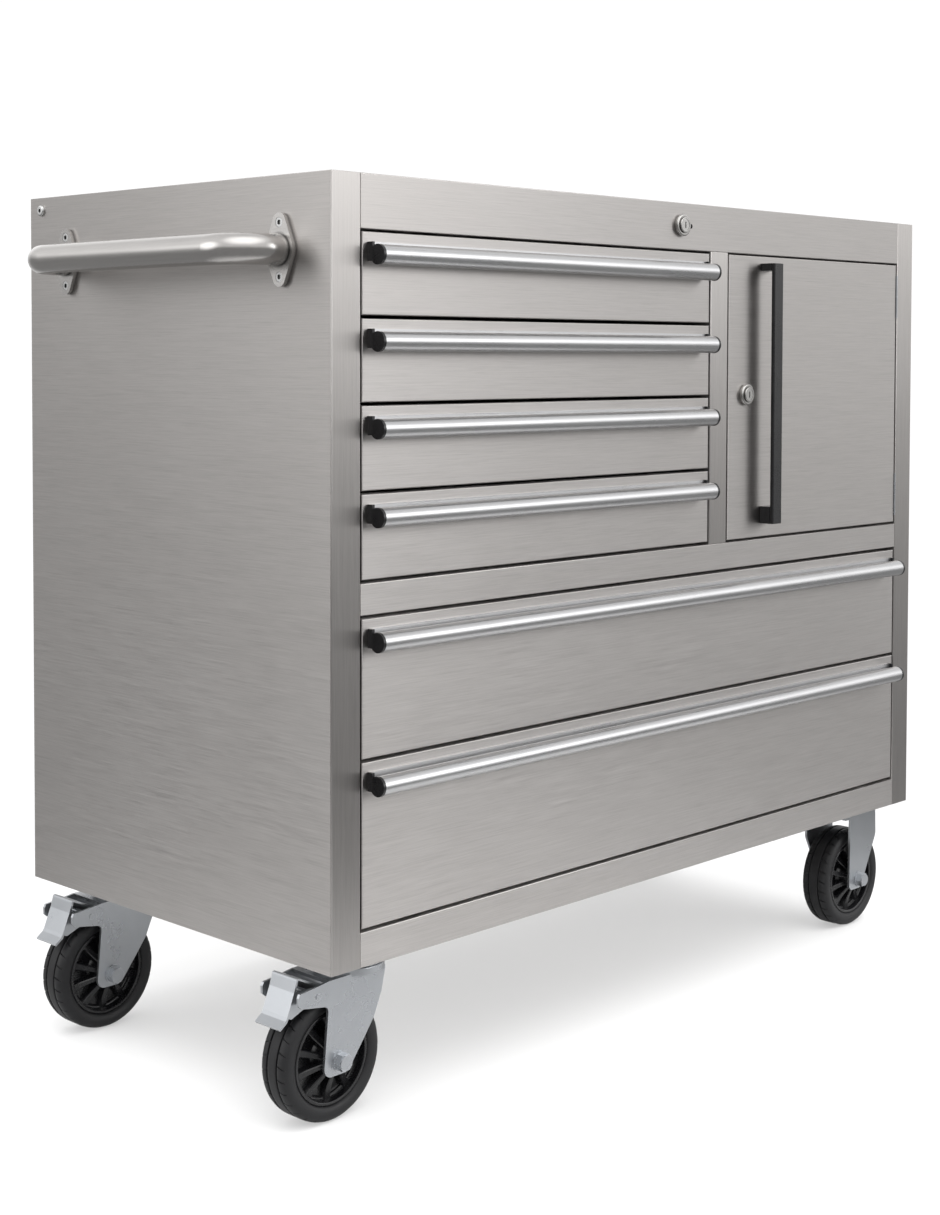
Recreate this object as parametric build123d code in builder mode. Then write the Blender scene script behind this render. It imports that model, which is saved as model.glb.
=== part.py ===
from build123d import *
import math
import os

# Rolling tool chest in brushed stainless steel: a sheet-metal cabinet with four
# narrow drawers beside a side-hung door, two full-width drawers below, a tubular
# push handle on the left side, and two braked swivel castors and two fixed
# castors.  +X runs to the right seen from the front, the front faces -Y, +Z is
# up, and the origin is on the floor under the middle of the whole object.

# ---------------------------------------------------------------- dimensions
cab_w = 1004.0            # cabinet width
cab_d = 494.0             # cabinet depth
cab_h = 750.0             # cabinet height without castors
castor_h = 160.0          # floor to the underside of the cabinet
sheet = 1.5               # carcass sheet thickness
skin = 1.2                # drawer and door sheet thickness

post_w_left = 36.5        # front post widths
post_w_right = 36.0
post_d = 32.0             # front post depth
rail_d = 25.0             # front rail depth
top_rail_z = (698.0, 750.0)
mid_rail_z = (334.7, 365.0)
low_rail_z = (0.0, 33.6)
partition_x = (575.0, 607.3)
mid_shelf_z = (363.5, 365.0)

front_t = 18.0            # depth of a drawer front or door pan
small_x = (38.4, 572.3)   # narrow drawer fronts
wide_x = (38.4, 965.2)    # full-width drawer fronts
door_x = (609.2, 965.2)
door_z = (367.6, 696.2)
drawers = [               # name, front x range, front z range, tray wall height
    ("drawer_1", small_x, (617.5, 695.5), 60.0),
    ("drawer_2", small_x, (535.6, 614.2), 60.0),
    ("drawer_3", small_x, (452.3, 532.3), 60.0),
    ("drawer_4", small_x, (368.3, 449.0), 60.0),
    ("drawer_5", wide_x, (198.5, 331.4), 112.0),
    ("drawer_6", wide_x, (36.9, 195.2), 138.0),
]
tray_y = (18.0, 458.0)    # tray front and rear, behind the face
slide_t = 12.5            # room for a slide each side of a tray
rail_half = 15.0          # half height of an outer slide rail

handle_r = 9.5            # drawer handle tube
handle_out = 13.0         # tube centre in front of the face
handle_drop = 21.6        # tube centre below the front's top edge
cap_t = 3.0               # end cap thickness

door_handle_x = (672.1, 689.9)
door_handle_z = (383.5, 688.0)
door_handle_y = (-19.4, -14.2)  # front and back of the flat grip bar

push_z = 679.0            # push handle
push_y = (68.5, 421.0)
push_out = 52.0
push_r = 15.0
push_bend = 40.0
flange_t = 5.0

lock_xz = (520.3, 725.2)  # drawer lock, in the top rail
door_lock_xz = (642.7, 535.2)

hinge_axis = (966.6, -0.3)
knuckle_r = 1.35
hinge_pin_r = 0.70
hinge_z = ((376.0, 430.0), (629.0, 683.0))

wheel_r = 62.5            # castor wheels
wheel_w = 37.5
axle_z = wheel_r - castor_h
axle_r = 6.0
swivel_x = 76.0
trail = 36.5
fixed_x = 942.0
castor_y = (60.0, 431.0)
leg_in = 25.0             # fork leg, inner and outer face from the mid plane
leg_out = 28.0
plate_size = (105.0, 85.0, 3.0)
bolt_xy = (47.0, 35.5)
race_r = 36.5

side_screw = (473.2, 736.1)
screw_head_r = 6.0
screw_head_h = 2.6

# The origin sits under the middle of the object: the push handle stands out on
# the left, the screw heads on the right and the drawer pulls at the front.
X0 = ((push_out + push_r) - (cab_w + screw_head_h)) / 2
Y0 = -(cab_d - (handle_out + handle_r + 0.2)) / 2
Z0 = castor_h

os.makedirs("parts", exist_ok=True)


def at(x, y, z):
    """A cabinet position (from its left, front, bottom corner) in the part's frame."""
    return (x + X0, y + Y0, z + Z0)


def slab(x, y, z, mode=Mode.ADD):
    """A plate between two corners, added to the current part."""
    with Locations(at((x[0] + x[1]) / 2, (y[0] + y[1]) / 2, (z[0] + z[1]) / 2)):
        Box(x[1] - x[0], y[1] - y[0], z[1] - z[0], mode=mode)


def bar_y(x, y, z, r, mode=Mode.ADD):
    """A cylinder along Y between y[0] and y[1]."""
    with Locations(Location(at(x, (y[0] + y[1]) / 2, z), (90, 0, 0))):
        Cylinder(r, y[1] - y[0], mode=mode)


def bar_x(x, y, z, r, mode=Mode.ADD):
    """A cylinder along X between x[0] and x[1]."""
    with Locations(Location(at((x[0] + x[1]) / 2, y, z), (0, 90, 0))):
        Cylinder(r, x[1] - x[0], mode=mode)


def bar_z(x, y, z, r, mode=Mode.ADD):
    """A cylinder along Z between z[0] and z[1]."""
    with Locations(at(x, y, (z[0] + z[1]) / 2)):
        Cylinder(r, z[1] - z[0], mode=mode)


def save(part, name):
    part.label = name
    export_step(part, "parts/" + name + ".step")


def block(x, y, z):
    """A single plate as a solid of its own."""
    with BuildPart() as plate:
        slab(x, y, z)
    return plate.part


def save_group(parts, name):
    """Several separate solids that belong to one named piece."""
    group = Compound([solid for part in parts for solid in part.solids()])
    group.label = name
    export_step(group, "parts/" + name + ".step")


# ---------------------------------------------------------------- carcass
with BuildPart() as left_side_panel:
    slab((0, sheet), (sheet, cab_d), (0, cab_h))
    slab((sheet, 20), (cab_d - 2 * sheet - 0.2, cab_d - sheet - 0.2), (20, cab_h - 20))
    for fy in push_y:
        for dz in (-25.75, 25.75):
            bar_x((-1, 3), fy, push_z + dz, 3.1, Mode.SUBTRACT)
    bar_x((-1, 3), side_screw[0], side_screw[1], 3.1, Mode.SUBTRACT)
    fillet(left_side_panel.edges().filter_by(Axis.Y).filter_by_position(
        Axis.Z, Z0 + cab_h - 0.1, Z0 + cab_h + 0.1).sort_by(Axis.X)[0], 0.6)
save(left_side_panel.part, "left_side_panel")

with BuildPart() as right_side_panel:
    slab((cab_w - sheet, cab_w), (sheet, cab_d), (0, cab_h))
    slab((cab_w - 20, cab_w - sheet), (cab_d - 2 * sheet - 0.2, cab_d - sheet - 0.2), (20, cab_h - 20))
    bar_x((cab_w - 3, cab_w + 1), side_screw[0], side_screw[1], 3.1, Mode.SUBTRACT)
    fillet(right_side_panel.edges().filter_by(Axis.Y).filter_by_position(
        Axis.Z, Z0 + cab_h - 0.1, Z0 + cab_h + 0.1).sort_by(Axis.X)[-1], 0.6)
save(right_side_panel.part, "right_side_panel")

# The rear panel closes the back between the side sheets.
with BuildPart() as back_panel:
    slab((sheet, cab_w - sheet), (cab_d - sheet, cab_d), (0, cab_h))
save(back_panel.part, "back_panel")

with BuildPart() as top_panel:
    slab((sheet, cab_w - sheet), (rail_d, cab_d - sheet), (cab_h - sheet, cab_h))
    slab((sheet, post_w_left), (sheet, rail_d), (cab_h - sheet, cab_h))
    slab((cab_w - post_w_right, cab_w - sheet), (sheet, rail_d), (cab_h - sheet, cab_h))
    for x0 in (sheet, cab_w - 2 * sheet):
        slab((x0, x0 + sheet), (post_d + 2, cab_d - 5), (cab_h - 24, cab_h - sheet))
    for fx in (0, cab_w - 8):
        bar_x((fx, fx + 8), side_screw[0], side_screw[1], 3.1, Mode.SUBTRACT)
save(top_panel.part, "top_panel")

with BuildPart() as bottom_panel:
    slab((sheet, cab_w - sheet), (sheet, cab_d - sheet), (0, sheet))
    for cx in (swivel_x, fixed_x):
        for cy in castor_y:
            for bx in (-bolt_xy[0], bolt_xy[0]):
                for by in (-bolt_xy[1], bolt_xy[1]):
                    bar_z(cx + bx, cy + by, (-1, 3), 3.3, Mode.SUBTRACT)
save(bottom_panel.part, "bottom_panel")


# ---------------------------------------------------------------- front frame
def front_post(x, outer):
    """Folded upright: a face, an inner return and a rear return, open to the side sheet."""
    with BuildPart() as post:
        slab(x, (0, sheet), (0, cab_h))
        if outer == "left":
            slab((x[1] - sheet, x[1]), (0, post_d), (sheet, cab_h - sheet))
            slab((x[0] + sheet, x[1]), (post_d - sheet, post_d), (sheet, cab_h - sheet))
        else:
            slab((x[0], x[0] + sheet), (0, post_d), (sheet, cab_h - sheet))
            slab((x[0], x[1] - sheet), (post_d - sheet, post_d), (sheet, cab_h - sheet))
        fillet(post.edges().filter_by(Axis.Z).filter_by_position(
            Axis.Y, Y0 - 0.05, Y0 + 0.05), 1.1)
    return post.part


save(front_post((0, post_w_left), "left"), "left_front_post")
save(front_post((cab_w - post_w_right, cab_w), "right"), "right_front_post")

rail_x = (post_w_left, cab_w - post_w_right)



def front_rail(rz):
    """Folded cross rail; the lowest one stands on the floor sheet."""
    with BuildPart() as rail:
        slab(rail_x, (0, sheet), rz)
        if rz != low_rail_z:
            slab(rail_x, (0, rail_d), (rz[0], rz[0] + sheet))
        slab(rail_x, (0, rail_d), (rz[1] - sheet, rz[1]))
        fillet(rail.edges().filter_by(Axis.X).filter_by_position(
            Axis.Y, Y0 - 0.05, Y0 + 0.05), 0.9)
        if rz == top_rail_z:
            bar_y(lock_xz[0], (-1, 4), lock_xz[1], 9.1, Mode.SUBTRACT)
            bar_y(lock_xz[0] + 14.5, (-1, 4), lock_xz[1] - 0.7, 2.3, Mode.SUBTRACT)
    return rail.part


save_group([front_rail(rz) for rz in (top_rail_z, mid_rail_z, low_rail_z)], "front_rails")

with BuildPart() as partition_panel:
    slab(partition_x, (0, cab_d - sheet - 0.5), (mid_rail_z[1], top_rail_z[0]))
    slab((partition_x[0], partition_x[1]), (rail_d, cab_d - sheet - 0.5), (top_rail_z[0], cab_h - sheet))
    fillet(partition_panel.edges().filter_by(Axis.Z).filter_by_position(
        Axis.Y, Y0 - 0.05, Y0 + 0.05), 1.1)
    slab((partition_x[0] + sheet, partition_x[1] - sheet), (sheet, cab_d - sheet - 2),
         (mid_rail_z[1] + sheet, top_rail_z[0] - sheet), Mode.SUBTRACT)
save(partition_panel.part, "partition_panel")

with BuildPart() as mid_shelf:
    slab((sheet, cab_w - sheet), (post_d + 0.2, cab_d - 2 * sheet - 0.4), mid_shelf_z)
    slab((post_w_left + 0.2, cab_w - post_w_right - 0.2), (rail_d, post_d + 0.2), mid_shelf_z)
save(mid_shelf.part, "mid_shelf")

with BuildPart() as cupboard_shelf:
    sx = (partition_x[1] + 1.0, cab_w - sheet - 1.0)
    slab(sx, (45, cab_d - 6), (526.0, 527.5))
    slab(sx, (45, 46.5), (512.0, 527.5))
    slab(sx, (cab_d - 7.5, cab_d - 6), (512.0, 527.5))
    fillet(cupboard_shelf.edges().filter_by(Axis.X).group_by(Axis.Z)[-1].sort_by(Axis.Y)[0], 1.0)
save(cupboard_shelf.part, "cupboard_shelf")


# ---------------------------------------------------------------- slides
def upright(x, y, z, open_left):
    """A folded channel that carries the outer slide rails."""
    with BuildPart() as channel:
        slab(x, y, z)
        if open_left:
            slab((x[0], x[1] - sheet), (y[0] + sheet, y[1] - sheet), z, Mode.SUBTRACT)
        else:
            slab((x[0] + sheet, x[1]), (y[0] + sheet, y[1] - sheet), z, Mode.SUBTRACT)
    return channel.part


uprights = []
for uy in ((110, 150), (340, 380)):
    uprights.append(upright((sheet, 38.2), uy, (sheet, mid_shelf_z[0]), True))
    uprights.append(upright((2 * sheet, 38.2), uy, (mid_shelf_z[1], cab_h - sheet), True))
    uprights.append(upright((965.4, cab_w - sheet), uy, (sheet, mid_shelf_z[0]), False))
save_group(uprights, "slide_uprights")


def slide_z(front_z):
    return front_z[0] + 8 + rail_half + 10


def tray_x(front_x):
    if front_x[1] < 600:
        return (38.2 + slide_t, partition_x[0] - slide_t)
    return (38.2 + slide_t, 965.4 - slide_t)


def outer_rail(x, zc, web_left):
    """Fixed slide rail: a channel open towards the tray."""
    with BuildPart() as rail:
        slab(x, (22, 462), (zc - rail_half, zc + rail_half))
        inner = (x[0] + skin, x[1]) if web_left else (x[0], x[1] - skin)
        slab(inner, (22, 462), (zc - rail_half + skin, zc + rail_half - skin), Mode.SUBTRACT)
    return rail.part


outer_rails = []
for name, fx, fz, wall in drawers:
    zc = slide_z(fz)
    tx = tray_x(fx)
    outer_rails.append(outer_rail((tx[0] - slide_t, tx[0] - 4.0), zc, True))
    outer_rails.append(outer_rail((tx[1] + 4.0, tx[1] + slide_t), zc, False))
save_group(outer_rails, "slide_outer_rails")


# ---------------------------------------------------------------- drawers
def front_pan(fx, fz):
    """Folded front: an outer face with four returns."""
    with BuildPart() as pan:
        slab(fx, (0, front_t), fz)
        fillet(pan.edges().filter_by_position(Axis.Y, Y0 - 0.05, Y0 + 0.05), 1.1)
        slab((fx[0] + skin, fx[1] - skin), (skin, front_t + 1), (fz[0] + skin, fz[1] - skin), Mode.SUBTRACT)
    return pan.part


def drawer_box(fx, fz, wall):
    """Front pan, tray floor and walls, and the two inner slide rails."""
    tx = tray_x(fx)
    tz = fz[0] + 8.0
    zc = slide_z(fz)
    side_z = (tz + skin, tz + wall)
    return [
        front_pan(fx, fz),
        block(tx, tray_y, (tz, tz + skin)),
        block((tx[0], tx[0] + skin), tray_y, side_z),
        block((tx[1] - skin, tx[1]), tray_y, side_z),
        block((tx[0] + skin, tx[1] - skin), (tray_y[1] - skin, tray_y[1]), side_z),
        block((tx[0] + skin, tx[1] - skin), (tray_y[0], tray_y[0] + skin), side_z),
        block((tx[0] - slide_t + 2.2, tx[0]), (24, 456), (zc - 12.0, zc + 12.0)),
        block((tx[1], tx[1] + slide_t - 2.2), (24, 456), (zc - 12.0, zc + 12.0)),
    ]


def drawer_handle(fx, fz):
    """Extruded pull: a round grip on a short web and a flange against the face."""
    zc = fz[1] - handle_drop
    xa, xb = fx[0] + 7.4 + cap_t, fx[1] - 7.4 - cap_t
    with BuildPart() as pull:
        with BuildSketch(Plane.YZ.offset(xa + X0)):
            with Locations((Y0 - handle_out, Z0 + zc)):
                Circle(handle_r)
            with Locations((Y0 - handle_out / 2, Z0 + zc + 1.5)):
                Rectangle(handle_out, 9.0)
            with Locations((Y0 - 1.5, Z0 + zc + 3.0)):
                Rectangle(3.0, 18.0)
        extrude(amount=xb - xa)
    return pull.part


def end_cap(xa, zc):
    """Moulded plug over one end of the pull: a disc with a lug to the face."""
    with BuildPart() as cap:
        with BuildSketch(Plane.YZ.offset(xa + X0)):
            with Locations((Y0 - handle_out, Z0 + zc)):
                Circle(handle_r + 0.2)
            with Locations((Y0 - 3.2, Z0 + zc + 3.0)):
                Rectangle(6.4, 18.2)
            with Locations((Y0 - handle_out / 2, Z0 + zc + 1.5)):
                Rectangle(handle_out, 12.0)
        extrude(amount=cap_t)
    return cap.part


for name, fx, fz, wall in drawers:
    zc = fz[1] - handle_drop
    save_group(drawer_box(fx, fz, wall), name + "_box")
    save(drawer_handle(fx, fz), name + "_handle")
    save_group([end_cap(fx[0] + 7.4, zc), end_cap(fx[1] - 7.4 - cap_t, zc)], name + "_handle_caps")

# ---------------------------------------------------------------- push handle
with BuildPart() as push_handle:
    with BuildLine():
        FilletPolyline(
            at(-flange_t, push_y[0], push_z),
            at(-push_out, push_y[0], push_z),
            at(-push_out, push_y[1], push_z),
            at(-flange_t, push_y[1], push_z),
            radius=push_bend,
        )
    with BuildSketch(Plane(origin=at(-flange_t, push_y[0], push_z), z_dir=(-1, 0, 0))):
        Circle(push_r)
        Circle(push_r - 2.0, mode=Mode.SUBTRACT)
    sweep()
    for fy in push_y:
        with BuildSketch(Plane(origin=at(0, fy, push_z), x_dir=(0, 1, 0), z_dir=(-1, 0, 0))):
            Circle(19.5)
            with Locations((0, 26), (0, -26)):
                Circle(9.0)
            make_hull()
            with Locations((0, 25.75), (0, -25.75)):
                Circle(3.2, mode=Mode.SUBTRACT)
        extrude(amount=flange_t)
        for dz in (-25.75, 25.75):
            bar_x((-flange_t - 1, -flange_t + 2.6), fy, push_z + dz, 4.9, Mode.SUBTRACT)
save(push_handle.part, "push_handle")

def socket_screw(fy, z):
    """Cap screw sunk in the handle's flange."""
    with BuildPart() as screw:
        bar_x((-flange_t + 0.2, -flange_t + 2.6), fy, z, 4.6)
        bar_x((-flange_t + 2.6, 6.0), fy, z, 3.0)
        with BuildSketch(Plane(origin=at(-flange_t + 0.2, fy, z), z_dir=(-1, 0, 0))):
            RegularPolygon(2.6, 6)
        extrude(amount=-1.8, mode=Mode.SUBTRACT)
    return screw.part


save_group([socket_screw(fy, push_z + dz) for fy in push_y for dz in (-25.75, 25.75)], "push_handle_screws")


def button_screw(left):
    """Button-head screw through a side sheet into the top panel's flange."""
    head = (-screw_head_h, 0.0) if left else (cab_w, cab_w + screw_head_h)
    shank = (0.0, 8.0) if left else (cab_w - 8.0, cab_w)
    face = -screw_head_h if left else cab_w + screw_head_h
    with BuildPart() as screw:
        bar_x(head, side_screw[0], side_screw[1], screw_head_r)
        fillet(screw.edges().filter_by(GeomType.CIRCLE).sort_by(Axis.X)[0 if left else -1], 1.8)
        bar_x(shank, side_screw[0], side_screw[1], 3.0)
        with BuildSketch(Plane(origin=at(face, *side_screw), z_dir=(-1 if left else 1, 0, 0))):
            RegularPolygon(2.3, 6)
        extrude(amount=-1.6, mode=Mode.SUBTRACT)
    return screw.part


save_group([button_screw(True), button_screw(False)], "panel_screws")


# ---------------------------------------------------------------- locks
def lock_body(x, z, back):
    """Stepped escutcheon and barrel, bored for the plug."""
    with BuildPart() as body:
        bar_y(x, (-4.5, 0), z, 12.4)
        fillet(body.edges().filter_by(GeomType.CIRCLE).sort_by(Axis.Y)[0], 1.6)
        bar_y(x, (-6.6, -4.5), z, 8.6)
        fillet(body.edges().filter_by(GeomType.CIRCLE).sort_by(Axis.Y)[0], 0.7)
        bar_y(x, (0, back), z, 9.0)
        bar_y(x, (-8, back + 1), z, 6.45, Mode.SUBTRACT)
    return body.part


def lock_plug(x, z, back, cam_to):
    """Turning plug with its keyway, and the cam on its rear end."""
    with BuildPart() as plug:
        bar_y(x, (-6.2, back + 0.3), z, 6.4)
        slab((x - 0.9, x + 0.9), (-7, -2.5), (z - 3.6, z + 3.6), Mode.SUBTRACT)
        if cam_to == "right":
            slab((x - 6.4, x + 16.0), (back + 0.3, back + 2.3), (z - 5.0, z + 5.0))
        else:
            slab((x - 5.0, x + 5.0), (back + 0.3, back + 2.3), (z - 27.0, z + 6.4))
    return plug.part


with BuildPart() as index_pin:
    bar_y(lock_xz[0] + 14.5, (-2.4, 0.0), lock_xz[1] - 0.7, 2.6)
    bar_y(lock_xz[0] + 14.5, (0.0, 8.0), lock_xz[1] - 0.7, 2.2)
save_group([lock_body(lock_xz[0], lock_xz[1], 18.0), index_pin.part], "drawer_lock_body")
save(lock_plug(lock_xz[0], lock_xz[1], 18.0, "right"), "drawer_lock_plug")
save(lock_body(door_lock_xz[0], door_lock_xz[1], 20.0), "door_lock_body")
save(lock_plug(door_lock_xz[0], door_lock_xz[1], 20.0, "down"), "door_lock_plug")

# ---------------------------------------------------------------- door
with BuildPart() as door_panel:
    slab(door_x, (0, front_t), door_z)
    fillet(door_panel.edges().filter_by_position(Axis.Y, Y0 - 0.05, Y0 + 0.05), 1.0)
    slab((door_x[0] + skin, door_x[1] - skin), (skin, front_t + 1), (door_z[0] + skin, door_z[1] - skin),
         Mode.SUBTRACT)
    bar_y(door_lock_xz[0], (-1, 4), door_lock_xz[1], 9.1, Mode.SUBTRACT)
save(door_panel.part, "door_panel")

# The inner sheet closes the pan, and the lock barrel passes through it.
with BuildPart() as door_liner:
    slab((door_x[0] + 1.4, door_x[1] - 1.4), (front_t - 2.4, front_t - skin), (door_z[0] + 1.4, door_z[1] - 1.4))
    bar_y(door_lock_xz[0], (0, 30), door_lock_xz[1], 9.2, Mode.SUBTRACT)
save(door_liner.part, "door_liner")

with BuildPart() as door_handle:
    slab(door_handle_x, door_handle_y, door_handle_z)
    fillet(door_handle.edges().filter_by(Axis.Z), 1.9)
    fillet(door_handle.faces().sort_by(Axis.Z)[0].edges() + door_handle.faces().sort_by(Axis.Z)[-1].edges(), 0.6)
save(door_handle.part, "door_handle")

def standoff(bz):
    """Block that carries the flat grip off the door."""
    with BuildPart() as post:
        slab(door_handle_x, (door_handle_y[1], 0), bz)
        fillet(post.edges().filter_by(Axis.Z), 1.0)
    return post.part


save_group([standoff((door_handle_z[1] - 8.5, door_handle_z[1])),
            standoff((door_handle_z[0], door_handle_z[0] + 20.0))], "door_handle_blocks")


def hinge_leaf(leaf_x, tongue_x, leaf_z, knuckle_z, bore_r):
    """Hinge leaf in the door gap with its knuckle on the pin axis."""
    with BuildPart() as leaf:
        slab(leaf_x, (1.6, 17.0), leaf_z)
        slab(tongue_x, (-0.3, 1.8), knuckle_z)
        bar_z(hinge_axis[0], hinge_axis[1], knuckle_z, knuckle_r)
        bar_z(hinge_axis[0], hinge_axis[1], (knuckle_z[0] - 1, knuckle_z[1] + 1), bore_r, Mode.SUBTRACT)
    return leaf.part


def hinge_pin(za, zb):
    with BuildPart() as pin:
        bar_z(hinge_axis[0], hinge_axis[1], (za, zb), hinge_pin_r)
    return pin.part


frame_leaves = []
door_leaves = []
for za, zb in hinge_z:
    frame_leaves.append(hinge_leaf((967.15, 968.0), (967.3, 967.9), (za, zb), (za, za + 26.7), hinge_pin_r))
    frame_leaves.append(hinge_pin(za, zb - 0.4))
    door_leaves.append(hinge_leaf((965.2, 966.05), (965.3, 965.9), (za, zb), (za + 27.0, zb), hinge_pin_r + 0.05))
save_group(frame_leaves, "hinge_frame_leaves")
save_group(door_leaves, "door_hinge_leaves")

# ---------------------------------------------------------------- castors
def swivel_plate(cy):
    """Bolted top plate with the upper raceway and the kingpin."""
    with BuildPart() as plate:
        slab((swivel_x - plate_size[0] / 2, swivel_x + plate_size[0] / 2),
             (cy - plate_size[1] / 2, cy + plate_size[1] / 2), (-plate_size[2], 0))
        fillet(plate.edges().filter_by(Axis.Z), 6.0)
        for bx in (-bolt_xy[0], bolt_xy[0]):
            for by in (-bolt_xy[1], bolt_xy[1]):
                bar_z(swivel_x + bx, cy + by, (-5, 1), 3.3, Mode.SUBTRACT)
        bar_z(swivel_x, cy, (-11.5, -3.0), race_r)
        fillet(plate.edges().filter_by(GeomType.CIRCLE).filter_by_position(
            Axis.Z, Z0 - 11.6, Z0 - 11.4), 2.0)
        bar_z(swivel_x, cy, (-24.0, -11.5), 6.0)
        bar_z(swivel_x, cy, (-26.0, -21.5), 9.5)
    return plate.part


save_group([swivel_plate(cy) for cy in castor_y], "swivel_castor_plates")

leg_outline = [(12, -19.0), (-11, -21.5), (-12.7, -25.0), (-12.5, -32.5), (-8.5, -36.0), (25.2, -41.5),
               (18.8, -110.5), (49.5, -110.5), (70, -84), (84, -65), (94, -42), (99, -21), (99, -17), (26, -17)]
leg_rounds = (((25.2, -41.5), 6.0), ((18.8, -110.5), 9.0), ((49.5, -110.5), 10.0), ((-8.5, -36.0), 2.0),
              ((94, -42), 12.0), ((70, -84), 20.0), ((84, -65), 20.0))
brake_pivot = (12.0, -29.0)


def outline(points, dx=0.0):
    return [(px + dx + X0, pz + Z0) for px, pz in points]


def wheel_bolt(cx, cy):
    """Wheel bolt with its head, nut and two washers."""
    with BuildPart() as bolt:
        bar_y(cx, (cy - leg_out - 9.6, cy + leg_out + 9.0), axle_z, 5.2)
        bar_y(cx, (cy - leg_out, cy + leg_out), axle_z, axle_r)
        for ya, yb in ((cy - leg_out - 1.6, cy - leg_out), (cy + leg_out, cy + leg_out + 1.6)):
            bar_y(cx, (ya, yb), axle_z, 9.8)
        for ya, yb in ((cy - leg_out - 8.6, cy - leg_out - 1.6), (cy + leg_out + 1.6, cy + leg_out + 8.0)):
            with BuildSketch(Plane.XZ.offset(-(yb + Y0))):
                with Locations((cx + X0, axle_z + Z0)):
                    RegularPolygon(8.9, 6)
            extrude(amount=yb - ya)
            bar_y(cx, ((ya, yb)[ya > cy] - 1.2 * (ya < cy), (ya, yb)[ya > cy] + 1.2 * (ya > cy)), axle_z, 7.4)
    return bolt.part


def plate_xz(points, rounds, ya, width, dx=0.0):
    """Sheet cut to an outline seen from the front, its named corners rounded, from ya forward by width."""
    with BuildPart() as plate:
        with BuildSketch(Plane.XZ.offset(-(ya + Y0))) as shape:
            with BuildLine():
                Polyline(*outline(points, dx), close=True)
            make_face()
            for (px, pz), radius in rounds:
                corner = [v for v in shape.vertices()
                          if abs(v.X - (px + dx + X0)) < 0.01 and abs(v.Y - (pz + Z0)) < 0.01]
                fillet(corner, radius)
        extrude(amount=width)
    return plate.part


def swivel_fork(cy):
    """Pressed fork: crown, two legs and the arms that carry the brake pivot."""
    legs = [plate_xz(leg_outline, leg_rounds, ya, leg_out - leg_in) for ya in (cy - leg_in, cy + leg_out)]
    with BuildPart() as yoke:
        bar_z(swivel_x, cy, (-20.5, -12.0), race_r - 1.2)
        fillet(yoke.edges().filter_by(GeomType.CIRCLE), 1.5)
        slab((26, swivel_x), (cy - leg_out, cy + leg_out), (-20.5, -17.0))
        add(legs)
        bar_z(swivel_x, cy, (-30, -5), 6.06, Mode.SUBTRACT)
        bar_z(swivel_x, cy, (-30, -20.6), 10.0, Mode.SUBTRACT)
        bar_y(swivel_x - trail, (cy - 40, cy + 40), axle_z, axle_r, Mode.SUBTRACT)
        bar_y(brake_pivot[0], (cy - 40, cy + 40), brake_pivot[1], 3.05, Mode.SUBTRACT)
    return yoke.part


pedal_half = 17.9
tread_outline = [(-6.0, -9.0), (-9.8, -22.6), (-18.2, -43.8), (-20.4, -47.4), (-28.0, -53.2), (-26.6, -55.1),
                 (-18.6, -49.2), (-16.0, -44.8), (-7.5, -23.2), (-4.3, -11.6), (17.2, -21.9), (18.2, -20.0)]
cheek_outline = [(-9.0, -22.8), (8, -23.0), (19, -24.0), (19, -33.0), (12, -37.0), (2.7, -40.5),
                 (-13.0, -47.0), (-17.6, -45.0)]


def brake_pedal(cy):
    """Folded total-stop pedal: a sloping tread with a kicked lip and two cheeks on a pivot pin."""
    sheets = [plate_xz(cheek_outline, (((-13.0, -47.0), 1.5), ((19, -24.0), 3.0), ((19, -33.0), 3.0)), ya, 2.2)
              for ya in (cy + pedal_half, cy - pedal_half + 2.2)]
    sheets.append(plate_xz(tread_outline, (((-6.0, -9.0), 2.4), ((-9.8, -22.6), 6.0), ((-7.5, -23.2), 4.0),
                                           ((-20.4, -47.4), 2.5), ((-18.6, -49.2), 4.5)),
                           cy + pedal_half, 2 * pedal_half))
    with BuildPart() as pedal:
        add(sheets)
        bar_y(brake_pivot[0], (cy - 28.6, cy + 28.6), brake_pivot[1], 3.0)
    return pedal.part


def castor_rim(cx, cy):
    """Moulded wheel centre: bearing hub, web, ribs and the rim ring."""
    with BuildPart() as rim:
        bar_y(cx, (cy - 16.0, cy + 16.0), axle_z, 46.5)
        bar_y(cx, (cy - 17.0, cy - 4.0), axle_z, 40.0, Mode.SUBTRACT)
        bar_y(cx, (cy + 4.0, cy + 17.0), axle_z, 40.0, Mode.SUBTRACT)
        bar_y(cx, (cy - 24.0, cy + 24.0), axle_z, 14.0)
        for k in range(10):
            with Locations(Location(at(cx, cy, axle_z), (0, 36.0 * k + 18.0, 0))):
                with Locations((27.0, 0, 0)):
                    Box(28.0, 26.0, 3.4)
        bar_y(cx, (cy - 30.0, cy + 30.0), axle_z, axle_r + 0.06, Mode.SUBTRACT)
    return rim.part


def castor_tyre(cx, cy):
    """Rubber tyre with rounded shoulders and two grooves round the tread."""
    with BuildPart() as tyre:
        bar_y(cx, (cy - wheel_w / 2, cy + wheel_w / 2), axle_z, wheel_r)
        fillet(tyre.edges().filter_by(GeomType.CIRCLE), 6.0)
        for gy in (-7.0, 7.0):
            with Locations(Location(at(cx, cy + gy, axle_z), (90, 0, 0))):
                Cylinder(wheel_r + 2, 2.0, mode=Mode.SUBTRACT)
                Cylinder(wheel_r - 2.0, 2.0)
        bar_y(cx, (cy - 30.0, cy + 30.0), axle_z, 46.5, Mode.SUBTRACT)
    return tyre.part


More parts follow.
